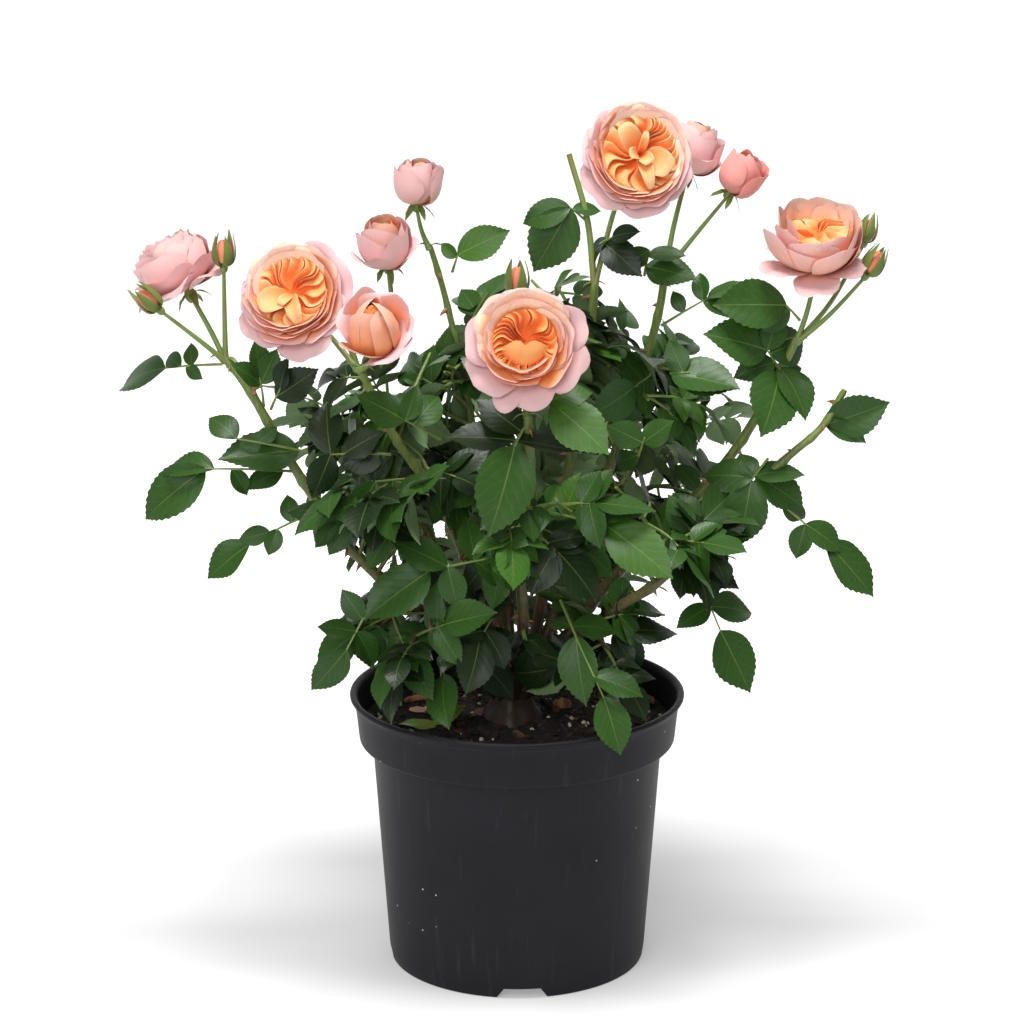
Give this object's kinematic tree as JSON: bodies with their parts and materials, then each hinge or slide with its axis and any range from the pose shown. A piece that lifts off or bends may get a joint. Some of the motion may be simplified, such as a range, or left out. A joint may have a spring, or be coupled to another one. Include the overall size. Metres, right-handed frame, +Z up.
{
  "type": "potted rose bush",
  "caption": "Garden rose bush in a round nursery pot, with upright canes, glossy leaves and cupped apricot and pink blooms.",
  "frame": {"origin": "centre of the flat pad in the middle of the pot's underside, on the surface that the pot stands on", "axes": "+Z up along the pot's axis, -Y towards the side that the largest blooms face, +X to the right seen from that side"},
  "size_m": [0.5408, 0.3249, 0.6263],
  "materials": {
    "pot_plastic": "moulded charcoal-black polypropylene, matt, lightly scuffed",
    "compost": "moist dark potting compost with bark and perlite",
    "bark": "rough grey-brown bark of the old stump",
    "cane": "smooth olive-green cane with reddish thorns",
    "leaf": "glossy dark green leaflets, paler underneath",
    "petal": "soft petals, apricot inside and pale pink outside",
    "bud": "closed bud in green sepals flushed with red"
  },
  "bodies": {
    "root": {"pot": "pot_plastic", "compost": "compost", "stump": "bark", "cane_back": "cane", "cane_back_left": "cane", "cane_back_right": "cane", "cane_front": "cane", "cane_front_left": "cane", "cane_inner_left": "cane", "cane_inner_right": "cane", "cane_left": "cane", "cane_low_right": "cane", "cane_middle": "cane", "cane_right": "cane", "truss_front_left": "cane", "truss_inner_right": "cane", "truss_left": "cane", "truss_right": "cane", "truss_top": "cane", "stalk_front": "cane", "stalk_inner_left": "cane", "stalk_upper_left": "cane", "leaves_back": "leaf", "leaves_back_left": "leaf", "leaves_back_right": "leaf", "leaves_front": "leaf", "leaves_front_left": "leaf", "leaves_front_right": "leaf", "leaves_low_back": "leaf", "leaves_low_left": "leaf", "leaves_low_right": "leaf", "leaves_upper_left": "leaf", "leaves_upper_middle": "leaf", "leaves_upper_right": "leaf", "spray_back_left": "leaf", "spray_back_right": "leaf", "spray_drop_left": "leaf", "spray_left_high": "leaf", "spray_left_low": "leaf", "spray_left_middle": "leaf", "spray_over_rim": "leaf", "spray_right_high": "leaf", "spray_right_low": "leaf", "spray_right_middle": "leaf", "spray_right_tip": "leaf", "bloom_far_left": "petal", "bloom_front": "petal", "bloom_half_back": "petal", "bloom_half_high": "petal", "bloom_half_low": "petal", "bloom_left": "petal", "bloom_right": "petal", "bloom_top": "petal", "bud_front": "bud", "bud_left_high": "bud", "bud_left_low": "bud", "bud_opening_left": "petal", "bud_opening_right": "petal", "bud_right": "bud", "bud_right_back": "bud"}
  },
  "joints": []
}
